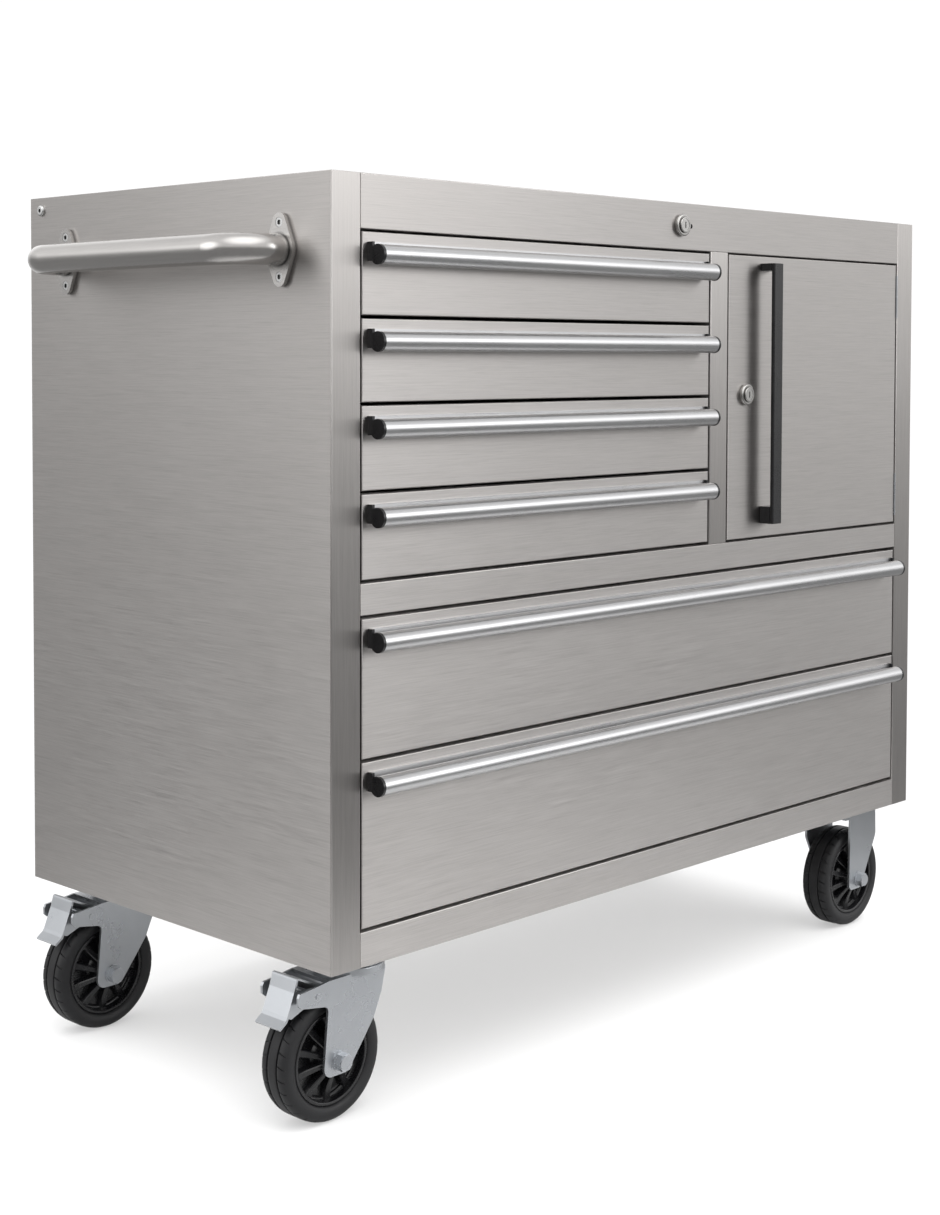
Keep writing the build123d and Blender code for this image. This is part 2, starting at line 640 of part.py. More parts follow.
for side, cy in (("front", castor_y[0]), ("rear", castor_y[1])):
    save_group([swivel_fork(cy), wheel_bolt(swivel_x - trail, cy)], side + "_left_fork")
    save(brake_pedal(cy), side + "_left_brake_pedal")
    save(castor_rim(swivel_x - trail, cy), side + "_left_wheel_centre")
    save(castor_tyre(swivel_x - trail, cy), side + "_left_tyre")
    save(castor_rim(fixed_x, cy), side + "_right_wheel_centre")
    save(castor_tyre(fixed_x, cy), side + "_right_tyre")

fixed_outline = [(-19, -3), (-21, -109.5), (6, -109.5), (14, -94), (40, -45), (38.5, -3)]
fixed_rounds = (((-21, -109.5), 7.0), ((6, -109.5), 9.0), ((14, -94), 15.0), ((40, -45), 14.0))


def fixed_bracket(cy):
    """Fixed castor housing: top plate, two legs slanted opposite ways and a cross web."""
    near = plate_xz([(px + fixed_x, pz) for px, pz in fixed_outline],
                    [((px + fixed_x, pz), r) for (px, pz), r in fixed_rounds], cy - leg_in, leg_out - leg_in)
    far = plate_xz([(fixed_x - px, pz) for px, pz in fixed_outline],
                   [((fixed_x - px, pz), r) for (px, pz), r in fixed_rounds], cy + leg_out, leg_out - leg_in)
    legs = [near, far]
    with BuildPart() as bracket:
        slab((fixed_x - plate_size[0] / 2, fixed_x + plate_size[0] / 2),
             (cy - plate_size[1] / 2, cy + plate_size[1] / 2), (-plate_size[2], 0))
        fillet(bracket.edges().filter_by(Axis.Z), 6.0)
        for bx in (-bolt_xy[0], bolt_xy[0]):
            for by in (-bolt_xy[1], bolt_xy[1]):
                bar_z(fixed_x + bx, cy + by, (-5, 1), 3.3, Mode.SUBTRACT)
        add(legs)
        slab((fixed_x - 30, fixed_x + 30), (cy - leg_out, cy + leg_out), (-17.0, -14.0))
        bar_y(fixed_x, (cy - 40, cy + 40), axle_z, axle_r, Mode.SUBTRACT)
    return bracket.part


save_group([fixed_bracket(cy) for cy in castor_y], "fixed_castor_brackets")
save_group([wheel_bolt(fixed_x, cy) for cy in castor_y], "fixed_castor_axles")


def plate_bolt(x, y):
    """Hexagon bolt and nut that clamp a castor plate to the floor sheet."""
    with BuildPart() as bolt:
        with BuildSketch(Plane.XY.offset(Z0 - 7.3)):
            with Locations((x + X0, y + Y0)):
                RegularPolygon(5.8, 6)
        extrude(amount=4.3)
        bar_z(x, y, (-3.5, 9.0), 3.0)
        with BuildSketch(Plane.XY.offset(Z0 + sheet)):
            with Locations((x + X0, y + Y0)):
                RegularPolygon(5.8, 6)
        extrude(amount=5.0)
    return bolt.part


save_group([plate_bolt(cx + bx, cy + by)
            for cx in (swivel_x, fixed_x) for cy in castor_y
            for bx in (-bolt_xy[0], bolt_xy[0]) for by in (-bolt_xy[1], bolt_xy[1])],
           "castor_plate_bolts")
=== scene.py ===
import math
import random

import bmesh
import bpy
from mathutils import Matrix, Vector


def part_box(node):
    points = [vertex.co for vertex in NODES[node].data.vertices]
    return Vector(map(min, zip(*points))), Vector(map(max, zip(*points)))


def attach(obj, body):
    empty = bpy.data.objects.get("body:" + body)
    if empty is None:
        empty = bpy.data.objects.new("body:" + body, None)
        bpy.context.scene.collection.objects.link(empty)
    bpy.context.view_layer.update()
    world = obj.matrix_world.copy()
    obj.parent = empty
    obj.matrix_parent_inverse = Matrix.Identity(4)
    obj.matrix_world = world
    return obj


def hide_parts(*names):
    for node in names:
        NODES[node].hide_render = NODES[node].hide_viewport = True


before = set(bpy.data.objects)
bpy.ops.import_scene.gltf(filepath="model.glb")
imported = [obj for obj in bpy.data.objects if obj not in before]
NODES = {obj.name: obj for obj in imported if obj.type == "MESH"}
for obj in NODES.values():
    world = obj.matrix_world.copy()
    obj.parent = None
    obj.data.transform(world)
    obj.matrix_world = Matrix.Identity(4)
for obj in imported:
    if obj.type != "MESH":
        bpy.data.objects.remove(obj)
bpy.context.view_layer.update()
random.seed(7)

# ---------------------------------------------------------------- node helpers


def new_material(name):
    mat = bpy.data.materials.new(name)
    mat.use_nodes = True
    nt = mat.node_tree
    bsdf = nt.nodes["Principled BSDF"]
    return mat, nt, bsdf


def node(nt, kind, **props):
    n = nt.nodes.new(kind)
    for key, value in props.items():
        setattr(n, key, value)
    return n


def mapped_noise(nt, scale, detail=4.0, rough=0.6, offset=(0, 0, 0), distortion=0.0):
    """Noise in the object's own metres, stretched by scale."""
    coord = node(nt, "ShaderNodeTexCoord")
    mapping = node(nt, "ShaderNodeMapping")
    mapping.inputs["Scale"].default_value = scale
    mapping.inputs["Location"].default_value = offset
    nt.links.new(coord.outputs["Object"], mapping.inputs["Vector"])
    noise = node(nt, "ShaderNodeTexNoise")
    noise.inputs["Scale"].default_value = 1.0
    noise.inputs["Detail"].default_value = detail
    noise.inputs["Roughness"].default_value = rough
    noise.inputs["Distortion"].default_value = distortion
    nt.links.new(mapping.outputs["Vector"], noise.inputs["Vector"])
    return noise.outputs["Fac"]


def ramp(nt, fac, stops):
    r = node(nt, "ShaderNodeValToRGB")
    el = r.color_ramp.elements
    el[0].position, el[0].color = stops[0][0], (*stops[0][1], 1)
    el[1].position, el[1].color = stops[-1][0], (*stops[-1][1], 1)
    for pos, col in stops[1:-1]:
        e = el.new(pos)
        e.color = (*col, 1)
    nt.links.new(fac, r.inputs["Fac"])
    return r.outputs["Color"]


def remap(nt, value, a, b, c, d):
    m = node(nt, "ShaderNodeMapRange")
    m.inputs["From Min"].default_value = a
    m.inputs["From Max"].default_value = b
    m.inputs["To Min"].default_value = c
    m.inputs["To Max"].default_value = d
    nt.links.new(value, m.inputs["Value"])
    return m.outputs["Result"]


def math_node(nt, op, a, b):
    m = node(nt, "ShaderNodeMath", operation=op)
    for i, v in enumerate((a, b)):
        if isinstance(v, (int, float)):
            m.inputs[i].default_value = v
        else:
            nt.links.new(v, m.inputs[i])
    return m.outputs[0]


def mix_color(nt, fac, a, b, blend="MIX"):
    m = node(nt, "ShaderNodeMix", data_type="RGBA", blend_type=blend)
    if isinstance(fac, (int, float)):
        m.inputs["Factor"].default_value = fac
    else:
        nt.links.new(fac, m.inputs["Factor"])
    for key, v in (("A", a), ("B", b)):
        sock = [s for s in m.inputs if s.name == key and s.type == "RGBA"][0]
        if isinstance(v, tuple):
            sock.default_value = (*v, 1)
        else:
            nt.links.new(v, sock)
    return [s for s in m.outputs if s.type == "RGBA"][0]


def bump(nt, bsdf, height, strength, distance):
    b = node(nt, "ShaderNodeBump")
    b.inputs["Strength"].default_value = strength
    b.inputs["Distance"].default_value = distance
    nt.links.new(height, b.inputs["Height"])
    nt.links.new(b.outputs["Normal"], bsdf.inputs["Normal"])


def edge_mask(nt, radius, low=0.0, high=0.25):
    """1 along sharp edges, from the difference between the rounded and the flat normal."""
    bev = node(nt, "ShaderNodeBevel", samples=4)
    bev.inputs["Radius"].default_value = radius
    geo = node(nt, "ShaderNodeNewGeometry")
    dot = node(nt, "ShaderNodeVectorMath", operation="DOT_PRODUCT")
    nt.links.new(bev.outputs["Normal"], dot.inputs[0])
    nt.links.new(geo.outputs["Normal"], dot.inputs[1])
    inv = math_node(nt, "SUBTRACT", 1.0, dot.outputs["Value"])
    return remap(nt, inv, low, high, 0.0, 1.0)


def recess_shade_mask(nt, distance, low=0.35, high=0.85, local=True):
    """1 on open surface, 0 down in recesses narrower than about this distance; the mask for painted shade."""
    ao = node(nt, "ShaderNodeAmbientOcclusion", samples=8, only_local=local)
    ao.inputs["Distance"].default_value = distance
    return remap(nt, ao.outputs["AO"], low, high, 0.0, 1.0)


def along(nt, bsdf, vector):
    """Highlights spread along this world direction, across the grain."""
    c = node(nt, "ShaderNodeCombineXYZ")
    for i, v in enumerate(vector):
        c.inputs[i].default_value = v
    nt.links.new(c.outputs["Vector"], bsdf.inputs["Tangent"])


def brushed(name, scale_fine, scale_coarse, tone, rough=(0.29, 0.39), metallic=1.0, aniso=0.86, spread=(0, 0.02, 1),
            seed=0.0, bump_strength=0.12):
    """Brushed stainless: fine streaks along the grain over broader bands, faint handling marks, and a painted highlight
    along sharp edges.
    """
    mat, nt, bsdf = new_material(name)
    fine = mapped_noise(nt, scale_fine, detail=3.0, rough=0.75, offset=(seed, seed, seed))
    coarse = mapped_noise(nt, scale_coarse, detail=4.0, rough=0.6, offset=(seed + 3.1, seed, seed + 1.7))
    blotch = mapped_noise(nt, (2.4, 2.4, 3.2), detail=2.0, rough=0.5, offset=(seed, 5.0, 2.0))
    streak = math_node(nt, "ADD", math_node(nt, "MULTIPLY", fine, 0.55), math_node(nt, "MULTIPLY", coarse, 0.45))
    dark = tuple(c * 0.86 for c in tone)
    light = tuple(min(1.0, c * 1.10) for c in tone)
    col = ramp(nt, streak, [(0.33, dark), (0.5, tone), (0.67, light)])
    soil = ramp(nt, blotch, [(0.35, (0.955, 0.952, 0.948)), (0.65, (1.0, 1.0, 1.0))])
    col = mix_color(nt, 1.0, col, soil, "MULTIPLY")
    # Painted highlight: sharp edges are mixed toward a lighter steel tone.
    painted_edge_highlight = edge_mask(nt, 0.0011, 0.03, 0.3)
    col = mix_color(nt, math_node(nt, "MULTIPLY", painted_edge_highlight, 0.65), col, tuple(min(1.0, c * 1.55) for c in tone))
    nt.links.new(col, bsdf.inputs["Base Color"])
    bsdf.inputs["Metallic"].default_value = metallic
    bsdf.inputs["Anisotropic"].default_value = aniso
    along(nt, bsdf, spread)
    r = remap(nt, streak, 0.35, 0.65, rough[0], rough[1])
    nt.links.new(r, bsdf.inputs["Roughness"])
    bump(nt, bsdf, streak, bump_strength, 0.0002)
    return mat


STEEL = (0.492, 0.473, 0.460)
m_steel_h = brushed("steel_brushed_horizontal", (34, 34, 2400), (13, 13, 1050), STEEL, seed=0.3)
m_steel_side = brushed("steel_brushed_side", (34, 34, 2400), (13, 13, 1050), STEEL, seed=4.3)
m_steel_v = brushed("steel_brushed_vertical", (2400, 2400, 34), (1050, 1050, 13), STEEL, spread=(1, 1, 0.02), seed=1.9)
m_steel_top = brushed("steel_brushed_top", (34, 2400, 34), (13, 1050, 13), STEEL, spread=(0.02, 1, 0.02), seed=2.7)
m_inner = brushed("steel_inner_sheet", (30, 900, 30), (4, 200, 4), (0.50, 0.49, 0.48), rough=(0.38, 0.5), seed=3.3)


def tube_metal(name, scale_fine, tone, rough, metallic=1.0, seed=0.0, bump_strength=0.05, aniso=0.0, spread=None,
               crevice_shade_distance=0.0, local=True, painted_edge_highlight_gain=0.0, pin=None, face=None):
    mat, nt, bsdf = new_material(name)
    fine = mapped_noise(nt, scale_fine, detail=4.0, rough=0.7, offset=(seed, seed, seed))
    blotch = mapped_noise(nt, (9, 9, 9), detail=3.0, offset=(seed, 1, 2))
    col = ramp(nt, fine, [(0.3, tuple(c * 0.95 for c in tone)), (0.7, tuple(min(1, c * 1.03) for c in tone))])
    if spread:
        bsdf.inputs["Anisotropic"].default_value = aniso
        along(nt, bsdf, spread)
    col = mix_color(nt, 1.0, col, ramp(nt, blotch, [(0.3, (0.96, 0.96, 0.965)), (0.7, (1, 1, 1))]), "MULTIPLY")
    if painted_edge_highlight_gain:
        # Painted highlight: sharp edges are mixed toward light grey.
        painted_edge_highlight = edge_mask(nt, 0.0006, 0.03, 0.3)
        col = mix_color(nt, math_node(nt, "MULTIPLY", painted_edge_highlight, painted_edge_highlight_gain), col, (0.92, 0.92, 0.92))
    if crevice_shade_distance:
        # Painted shade: recesses, and with local off also contacts with neighbouring parts, are darkened to near black.
        col = mix_color(nt, recess_shade_mask(nt, crevice_shade_distance, local=local), (0.012, 0.012, 0.013), col)
    if face:
        # The keyway's walls and floor lie behind the plug's front face, so they are told apart by depth and painted
        # near black as painted shade in the keyway.
        coord = node(nt, "ShaderNodeTexCoord")
        depth = node(nt, "ShaderNodeVectorMath", operation="DOT_PRODUCT")
        nt.links.new(coord.outputs["Object"], depth.inputs[0])
        depth.inputs[1].default_value = face[1]
        behind = math_node(nt, "GREATER_THAN", depth.outputs["Value"], face[0] + 0.00035)
        col = mix_color(nt, behind, col, (0.006, 0.006, 0.006))
    if pin:
        # A round black pin beside the lock, told apart by its place in the object's own metres.
        coord = node(nt, "ShaderNodeTexCoord")
        off = node(nt, "ShaderNodeVectorMath", operation="SUBTRACT")
        nt.links.new(coord.outputs["Object"], off.inputs[0])
        off.inputs[1].default_value = pin[0]
        flat = node(nt, "ShaderNodeVectorMath", operation="MULTIPLY")
        nt.links.new(off.outputs["Vector"], flat.inputs[0])
        flat.inputs[1].default_value = pin[1]
        length = node(nt, "ShaderNodeVectorMath", operation="LENGTH")
        nt.links.new(flat.outputs["Vector"], length.inputs[0])
        black = math_node(nt, "LESS_THAN", length.outputs["Value"], 0.0031)
        col = mix_color(nt, black, col, (0.010, 0.010, 0.011))
    nt.links.new(col, bsdf.inputs["Base Color"])
    bsdf.inputs["Metallic"].default_value = metallic
    nt.links.new(remap(nt, math_node(nt, "ADD", fine, math_node(nt, "MULTIPLY", blotch, 0.3)), 0.4, 0.9, rough[0], rough[1]),
                 bsdf.inputs["Roughness"])
    if bump_strength:
        bump(nt, bsdf, fine, bump_strength, 0.0001)
    return mat


m_pull = tube_metal("aluminium_satin", (12, 900, 900), (0.56, 0.56, 0.565), (0.25, 0.32), seed=0.5, bump_strength=0.0)
m_push = tube_metal("stainless_tube_satin", (260, 12, 260), (0.52, 0.505, 0.49), (0.20, 0.23), seed=6.5, bump_strength=0.0,
                    crevice_shade_distance=0.005, local=False, painted_edge_highlight_gain=0.3)
m_nickel = tube_metal("nickel_plate", (60, 60, 60), (0.44, 0.43, 0.415), (0.14, 0.22), seed=8.5, bump_strength=0.0,
                      crevice_shade_distance=0.0028, local=False, painted_edge_highlight_gain=0.6)
m_bolt = tube_metal("machined_fastener", (400, 400, 400), (0.60, 0.60, 0.595), (0.2, 0.34), seed=2.5, bump_strength=0.0,
                    crevice_shade_distance=0.0028, painted_edge_highlight_gain=0.6)
lock_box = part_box("drawer_lock_body")
lock_obj = NODES["drawer_lock_body"]
# The pin is the body's outermost solid toward +X; it stands 2.6 mm in from that side of the box.
pin_at = lock_obj.matrix_world.inverted() @ Vector((max(lock_box[0][0], lock_box[1][0]) - 0.0026,
                                                    min(lock_box[0][1], lock_box[1][1]),
                                                    (lock_box[0][2] + lock_box[1][2]) / 2 - 0.0007))
pin_flat = lock_obj.matrix_world.inverted().to_3x3() @ Vector((0, 1, 0))
m_lock_body = tube_metal("nickel_plate_with_pin", (60, 60, 60), (0.44, 0.43, 0.415), (0.14, 0.22), seed=8.5,
                         bump_strength=0.0, crevice_shade_distance=0.0028, local=False, painted_edge_highlight_gain=0.6,
                         pin=(tuple(pin_at), tuple(0.0 if abs(v) > 0.5 else 1.0 for v in pin_flat)))


def zinc(name):
    """Bright zinc plate: cool grey, faintly mottled, with soft pressing marks and a painted highlight along the edges.
    """
    mat, nt, bsdf = new_material(name)
    cells = mapped_noise(nt, (45, 45, 45), detail=3.0, rough=0.5, distortion=0.2)
    broad = mapped_noise(nt, (11, 11, 11), detail=3.0, offset=(3, 3, 3))
    mixv = math_node(nt, "ADD", math_node(nt, "MULTIPLY", cells, 0.5), math_node(nt, "MULTIPLY", broad, 0.5))
    col = ramp(nt, mixv, [(0.3, (0.385, 0.40, 0.42)), (0.5, (0.405, 0.42, 0.44)), (0.7, (0.425, 0.44, 0.46))])
    # Painted highlight: sharp edges are mixed toward a pale grey.
    painted_edge_highlight = edge_mask(nt, 0.0007, 0.05, 0.3)
    col = mix_color(nt, math_node(nt, "MULTIPLY", painted_edge_highlight, 0.7), col, (0.80, 0.82, 0.84))
    nt.links.new(col, bsdf.inputs["Base Color"])
    bsdf.inputs["Metallic"].default_value = 0.9
    nt.links.new(remap(nt, mixv, 0.3, 0.7, 0.25, 0.33), bsdf.inputs["Roughness"])
    return mat


m_zinc = zinc("zinc_plate_bright")


def plastic(name, tone, rough, grain=900.0, spec=0.5, bump_strength=0.12):
    mat, nt, bsdf = new_material(name)
    g = mapped_noise(nt, (grain, grain, grain), detail=2.0, rough=0.5)
    broad = mapped_noise(nt, (16, 16, 16), detail=3.0)
    col = ramp(nt, broad, [(0.3, tuple(c * 0.8 for c in tone)), (0.7, tuple(c * 1.3 for c in tone))])
    # Painted highlight: sharp edges are mixed toward a lighter tone, a painted sheen.
    painted_edge_highlight = edge_mask(nt, 0.0008, 0.02, 0.3)
    col = mix_color(nt, math_node(nt, "MULTIPLY", painted_edge_highlight, 0.35), col, tuple(min(1.0, c * 3.0 + 0.02) for c in tone))
    nt.links.new(col, bsdf.inputs["Base Color"])
    bsdf.inputs["Specular IOR Level"].default_value = spec
    nt.links.new(remap(nt, math_node(nt, "ADD", math_node(nt, "MULTIPLY", g, 0.4), math_node(nt, "MULTIPLY", broad, 0.6)),
                       0.3, 0.7, rough[0], rough[1]), bsdf.inputs["Roughness"])
    bump(nt, bsdf, g, bump_strength, 0.0002)
    return mat


m_cap = plastic("plastic_black_cap", (0.006, 0.006, 0.007), (0.24, 0.36))
m_anod = plastic("black_anodised_bar", (0.008, 0.008, 0.009), (0.24, 0.34), grain=1600.0, bump_strength=0.06)
m_hub = plastic("plastic_black_wheel", (0.006, 0.006, 0.007), (0.2, 0.34), grain=700.0)
m_tyre = plastic("rubber_black_tyre", (0.009, 0.009, 0.010), (0.42, 0.58), grain=1200.0, spec=0.35, bump_strength=0.3)
m_pin = plastic("black_pin", (0.006, 0.006, 0.007), (0.2, 0.3))

# ---------------------------------------------------------------- CAD finishes


def paint(names, mat):
    for name in names:
        obj = NODES[name]
        for s in obj.material_slots:
            s.material = mat


all_names = list(NODES)
paint([n for n in all_names], m_steel_h)
paint(["left_side_panel", "right_side_panel", "back_panel"], m_steel_side)
paint(["left_front_post", "right_front_post", "partition_panel"], m_steel_v)
paint(["top_panel", "bottom_panel", "mid_shelf", "cupboard_shelf"], m_steel_top)
paint(["slide_outer_rails", "slide_uprights", "hinge_frame_leaves", "door_hinge_leaves"], m_zinc)
paint([n for n in all_names if n.startswith("drawer_") and n.endswith("_handle")], m_pull)
paint([n for n in all_names if n.endswith("_handle_caps")], m_cap)
paint(["door_handle", "door_handle_blocks"], m_anod)
paint(["push_handle"], m_push)
paint(["push_handle_screws", "panel_screws", "castor_plate_bolts"], m_bolt)
paint(["door_lock_body"], m_nickel)
for plug in ("drawer_lock_plug", "door_lock_plug"):
    to_plug = NODES[plug].matrix_world.inverted()
    front = to_plug @ Vector((0, min(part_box(plug)[0][1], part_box(plug)[1][1]), 0))
    inward = (to_plug.to_3x3() @ Vector((0, 1, 0))).normalized()
    paint([plug], tube_metal("nickel_" + plug, (60, 60, 60), (0.50, 0.49, 0.475), (0.14, 0.22), seed=8.5,
                             bump_strength=0.0, painted_edge_highlight_gain=0.6, face=(front.dot(inward), tuple(inward))))
paint(["drawer_lock_body"], m_lock_body)
paint([n for n in all_names if n.endswith("_fork") or n.endswith("_brake_pedal") or "castor_plates" in n
       or "castor_brackets" in n or "castor_axles" in n], m_zinc)
paint([n for n in all_names if n.endswith("_wheel_centre")], m_hub)
paint([n for n in all_names if n.endswith("_tyre")], m_tyre)

# ---------------------------------------------------------------- softened edges on the carried-over parts


def soften(names, width, segments=2, angle=32):
    """Sheet edges get a small round; coplanar triangles are merged first so that the rounds stay clean."""
    for name in names:
        obj = NODES[name]
        w = obj.modifiers.new("weld", "WELD")
        w.merge_threshold = 0.00001
        d = obj.modifiers.new("dissolve", "DECIMATE")
        d.decimate_type = "DISSOLVE"
        d.angle_limit = math.radians(0.4)
        b = obj.modifiers.new("round", "BEVEL")
        b.width = width
        b.segments = segments
        b.limit_method = "ANGLE"
        b.angle_limit = math.radians(angle)
        b.harden_normals = False
        b.use_clamp_overlap = True
        b.miter_outer = "MITER_ARC"


soften(["left_side_panel", "right_side_panel", "left_front_post", "right_front_post", "front_rails", "top_panel",
        "partition_panel"], 0.0005)

# ---------------------------------------------------------------- mesh helpers


def finish_mesh(bm, name, mat, body, sharp_deg=38):
    bmesh.ops.recalc_face_normals(bm, faces=bm.faces)
    limit = math.radians(sharp_deg)
    for f in bm.faces:
        f.smooth = True
    for e in bm.edges:
        if len(e.link_faces) == 2 and e.calc_face_angle() > limit:
            e.smooth = False
    mesh = bpy.data.meshes.new(name)
    bm.to_mesh(mesh)
    bm.free()
    mesh.materials.append(mat)
    obj = bpy.data.objects.new(name, mesh)
    bpy.context.scene.collection.objects.link(obj)
    return obj


def centre_of(node_name):
    lo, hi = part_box(node_name)
    return (Vector(lo) + Vector(hi)) / 2


def ring_faces(bm, rings, close):
    """Faces between consecutive rings of vertices; each ring is a list of the same length."""
    n, m = len(rings), len(rings[0])
    for i in range(n if close else n - 1):
        a, b = rings[i], rings[(i + 1) % n]
        for j in range(m):
            k = (j + 1) % m
            bm.faces.new((a[j], a[k], b[k], b[j]))


# ---------------------------------------------------------------- tyres
MM = 0.001
TYRE_HALF = [(14.8, 46.35), (16.3, 46.9), (17.6, 48.4), (18.4, 51.0), (18.7, 54.0), (18.35, 57.0), (17.1, 59.5),
             (15.0, 61.3), (12.4, 62.2), (10.2, 62.45), (8.3, 62.45), (7.95, 62.2), (7.7, 60.5), (6.9, 60.2),
             (6.1, 60.5), (5.85, 62.2), (5.5, 62.45), (2.8, 62.48)]


def tyre(name, node_name, body):
    """Tread with two grooves all round, short slanting cuts across both outer bands, and full shoulders."""
    prof = TYRE_HALF + [(-y, r) for y, r in reversed(TYRE_HALF)]
    c = centre_of(node_name)
    bm = bmesh.new()
    steps = []
    period = 360.0 / 30
    for k in range(30):
        for o, cut in ((0.0, 0), (0.28, 1), (1.0, 1), (1.28, 0), (3.4, 0), (5.4, 0), (6.0, 0), (6.28, 2), (7.0, 2),
                       (7.28, 0), (9.2, 0), (10.8, 0)):
            steps.append((k * period + o, cut))
    rings = []
    for a, cut in steps:
        ring = []
        for y, r in prof:
            side = 1 if y > 0 else 2
            ay = abs(y)
            rr = r
            if cut == side and 7.9 < ay < 17.5 and r > 59:
                rr = r - 1.3 * min(1.0, (17.6 - ay) / 3.0)
            t = math.radians(a + (ay - 8.0) * (0.32 if ay > 7.9 else 0.0))
            ring.append(bm.verts.new(c + Vector((rr * math.cos(t), y, rr * math.sin(t))) * MM))
        rings.append(ring)
    ring_faces(bm, rings, True)
    obj = finish_mesh(bm, name, m_tyre, body, 42)
    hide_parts(node_name)
    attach(obj, body)


# ---------------------------------------------------------------- wheel centres
RIM_HALF = [(46.3, 15.2), (46.0, 16.2), (45.2, 16.7), (43.6, 16.7), (42.9, 16.2), (42.5, 15.0), (42.1, 9.4),
            (41.4, 8.4), (40.2, 8.2), (39.4, 7.4), (39.0, 5.4), (38.0, 4.6), (22.0, 4.6), (18.6, 5.2), (16.4, 7.4),
            (15.2, 11.0), (14.4, 21.6), (13.8, 22.8), (12.6, 23.3), (8.6, 23.3), (7.9, 22.6), (7.6, 20.4), (6.25, 20.0)]


def wheel_centre(name, node_name, body):
    """Rim ring with a rolled lip, stepped web, ten tapered ribs a side and the bearing hub."""
    c = centre_of(node_name)
    bm = bmesh.new()
    prof = [(r, y) for r, y in RIM_HALF] + [(r, -y) for r, y in reversed(RIM_HALF)]
    rings = []
    for k in range(120):
        t = 2 * math.pi * k / 120
        rings.append([bm.verts.new(c + Vector((r * math.cos(t), y, r * math.sin(t))) * MM) for r, y in prof])
    ring_faces(bm, rings, True)
    for side in (1, -1):
        for k in range(10):
            t = 2 * math.pi * (k + 0.5) / 10
            er = Vector((math.cos(t), 0, math.sin(t)))
            et = Vector((-math.sin(t), 0, math.cos(t)))
            ey = Vector((0, side, 0))
            stations = []
            for r, top, half_top, half_base in ((13.2, 19.6, 1.9, 2.6), (18.0, 17.4, 2.1, 3.2), (28.0, 13.0, 2.7, 4.6),
                                                (36.0, 10.6, 3.3, 5.8), (42.0, 9.6, 3.8, 6.4)):
                row = []
                for w, h in ((-half_base, 4.2), (-half_top - 0.5, top - 0.9), (-half_top + 0.4, top),
                             (half_top - 0.4, top), (half_top + 0.5, top - 0.9), (half_base, 4.2)):
                    row.append(bm.verts.new(c + (er * r + et * w + ey * h) * MM))
                stations.append(row)
            for i in range(len(stations) - 1):
                for j in range(6):
                    q = (j + 1) % 6
                    bm.faces.new((stations[i][j], stations[i][q], stations[i + 1][q], stations[i + 1][j]))
            bm.faces.new(stations[0])
            bm.faces.new(list(reversed(stations[-1])))
    obj = finish_mesh(bm, name, m_hub, body, 30)
    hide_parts(node_name)
    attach(obj, body)


for corner in ("front_left", "rear_left", "front_right", "rear_right"):
    tyre(corner + "_tread", corner + "_tyre", corner + "_wheel")
    wheel_centre(corner + "_rim", corner + "_wheel_centre", corner + "_wheel")

# ---------------------------------------------------------------- floor, light, camera
floor_mesh = bpy.data.meshes.new("floor")
ring = [(1.5 * math.cos(2 * math.pi * k / 96), 1.25 * math.sin(2 * math.pi * k / 96), 0) for k in range(96)]
floor_mesh.from_pydata(ring, [], [tuple(range(96))])
floor = bpy.data.objects.new("floor", floor_mesh)
bpy.context.scene.collection.objects.link(floor)
floor.location.z = -0.0005
mat, nt, bsdf = new_material("floor_pale")
bsdf.inputs["Base Color"].default_value = (0.93, 0.93, 0.93, 1)
bsdf.inputs["Roughness"].default_value = 0.9
bsdf.inputs["Specular IOR Level"].default_value = 0.1
fcoord = node(nt, "ShaderNodeTexCoord")
fmap = node(nt, "ShaderNodeMapping")
fmap.inputs["Scale"].default_value = (1 / 1.45, 1 / 1.2, 0)
nt.links.new(fcoord.outputs["Object"], fmap.inputs["Vector"])
flen = node(nt, "ShaderNodeVectorMath", operation="LENGTH")
nt.links.new(fmap.outputs["Vector"], flen.inputs[0])
fade = node(nt, "ShaderNodeMapRange", interpolation_type="SMOOTHSTEP")
for key, v in (("From Min", 0.3), ("From Max", 0.86), ("To Min", 0.6), ("To Max", 0.0)):
    fade.inputs[key].default_value = v
nt.links.new(flen.outputs["Value"], fade.inputs["Value"])
nt.links.new(fade.outputs["Result"], bsdf.inputs["Alpha"])
floor_mesh.materials.append(mat)

scene = bpy.context.scene
world = bpy.data.worlds.new("studio")
scene.world = world
world.use_nodes = True
wnt = world.node_tree
bg = wnt.nodes["Background"]
wcoord = node(wnt, "ShaderNodeTexCoord")


def lobe(direction, inner_deg, outer_deg, strength):
    """Soft round glow in the studio's surround: strength inside inner_deg, nothing beyond outer_deg."""
    d = Vector(direction).normalized()
    dot = node(wnt, "ShaderNodeVectorMath", operation="DOT_PRODUCT")
    wnt.links.new(wcoord.outputs["Generated"], dot.inputs[0])
    dot.inputs[1].default_value = d
    m = node(wnt, "ShaderNodeMapRange", interpolation_type="SMOOTHSTEP")
    m.inputs["From Min"].default_value = math.cos(math.radians(outer_deg))
    m.inputs["From Max"].default_value = math.cos(math.radians(inner_deg))
    m.inputs["To Min"].default_value = 0.0
    m.inputs["To Max"].default_value = strength
    wnt.links.new(dot.outputs["Value"], m.inputs["Value"])
    return m.outputs["Result"]


def az(deg, elev):
    """Direction by angle from the front (-Y) toward +X, and height above the horizon."""
    a, e = math.radians(deg), math.radians(elev)
    return (math.sin(a) * math.cos(e), -math.cos(a) * math.cos(e), math.sin(e))


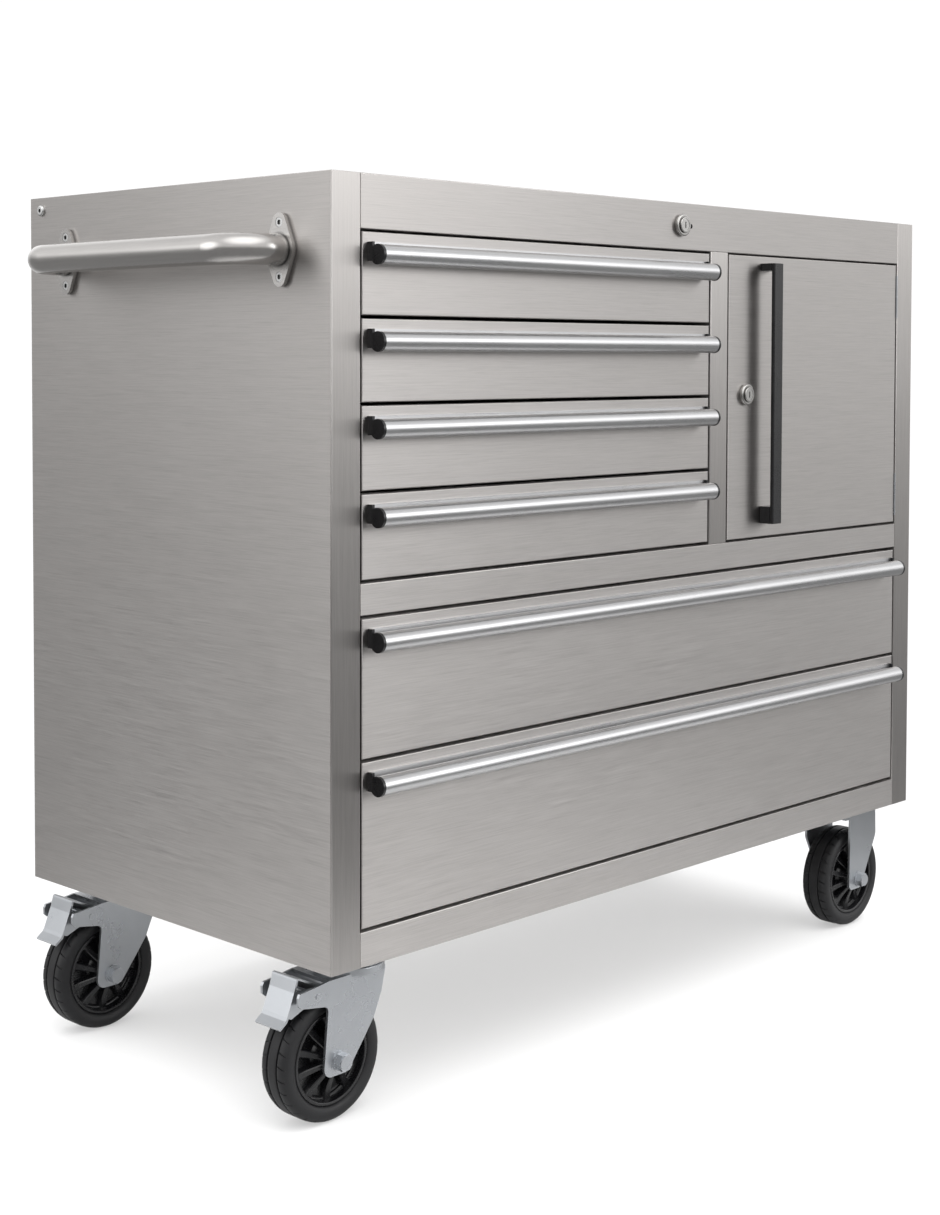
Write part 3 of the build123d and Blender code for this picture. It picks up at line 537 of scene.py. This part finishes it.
height = node(wnt, "ShaderNodeSeparateXYZ")
wnt.links.new(wcoord.outputs["Generated"], height.inputs["Vector"])
dome = node(wnt, "ShaderNodeMapRange", interpolation_type="SMOOTHSTEP")
dome.inputs["From Min"].default_value = -0.03
dome.inputs["From Max"].default_value = 0.30
dome.inputs["To Min"].default_value = 0.31
dome.inputs["To Max"].default_value = 0.98
wnt.links.new(height.outputs["Z"], dome.inputs["Value"])
surround = dome.outputs["Result"]
for glow in (lobe(az(30, 16), 5, 23, 2.9), lobe(az(-130, 24), 8, 44, 0.16), lobe(az(-122, 15), 4, 26, 1.5),
             lobe(az(62, 12), 5, 24, 0.62),
             lobe(az(138, 8), 10, 48, 0.5), lobe((-0.42, -0.45, 1.0), 8, 40, 1.25)):
    surround = math_node(wnt, "ADD", surround, glow)
wcol = node(wnt, "ShaderNodeCombineColor")
for k in range(3):
    wnt.links.new(surround, wcol.inputs[k])
wnt.links.new(wcol.outputs["Color"], bg.inputs["Color"])
bg.inputs["Strength"].default_value = 1.0
white = node(wnt, "ShaderNodeBackground")
white.inputs["Color"].default_value = (1, 1, 1, 1)
white.inputs["Strength"].default_value = 1.05
seen = node(wnt, "ShaderNodeLightPath")
wmix = node(wnt, "ShaderNodeMixShader")
wnt.links.new(seen.outputs["Is Camera Ray"], wmix.inputs["Fac"])
wnt.links.new(bg.outputs["Background"], wmix.inputs[1])
wnt.links.new(white.outputs["Background"], wmix.inputs[2])
wnt.links.new(wmix.outputs["Shader"], wnt.nodes["World Output"].inputs["Surface"])


def area(name, loc, target, size, power, color=(1, 1, 1)):
    data = bpy.data.lights.new(name, "AREA")
    data.shape = "RECTANGLE"
    data.size, data.size_y = size
    data.energy = power
    data.color = color
    obj = bpy.data.objects.new(name, data)
    scene.collection.objects.link(obj)
    obj.location = loc
    d = Vector(target) - Vector(loc)
    obj.rotation_euler = d.to_track_quat("-Z", "Y").to_euler()
    obj.visible_camera = False
    return obj


key = area("key_top", (0.1, -0.5, 3.0), (0, 0, 0.0), (4.4, 3.6), 90)
key.visible_glossy = False

cam_data = bpy.data.cameras.new("camera")
cam = bpy.data.objects.new("camera", cam_data)
scene.collection.objects.link(cam)
scene.camera = cam
yaw, pitch, roll = math.radians(45.84), math.radians(2.198), math.radians(0.14)
right0 = Vector((math.cos(yaw), -math.sin(yaw), 0))
fwd0 = Vector((math.sin(yaw), math.cos(yaw), 0))
up0 = Vector((0, 0, 1))
fwd = fwd0 * math.cos(pitch) - up0 * math.sin(pitch)
up1 = up0 * math.cos(pitch) + fwd0 * math.sin(pitch)
right = right0 * math.cos(roll) + up1 * math.sin(roll)
up = up1 * math.cos(roll) - right0 * math.sin(roll)
rot = Matrix((right, up, -fwd)).transposed()
cam.matrix_world = Matrix.Translation(Vector((-1.64730, -1.55735, 0.73970))) @ rot.to_4x4()
cam_data.sensor_width = 36.0
cam_data.sensor_fit = "AUTO"
cam_data.lens = 1916.47 / 1215.0 * 36.0
cam_data.shift_x = 0.0
cam_data.shift_y = -(607.5 - 429.06) / 1215.0
cam_data.clip_end = 60.0

scene.view_settings.view_transform = "Standard"
scene.view_settings.look = "None"
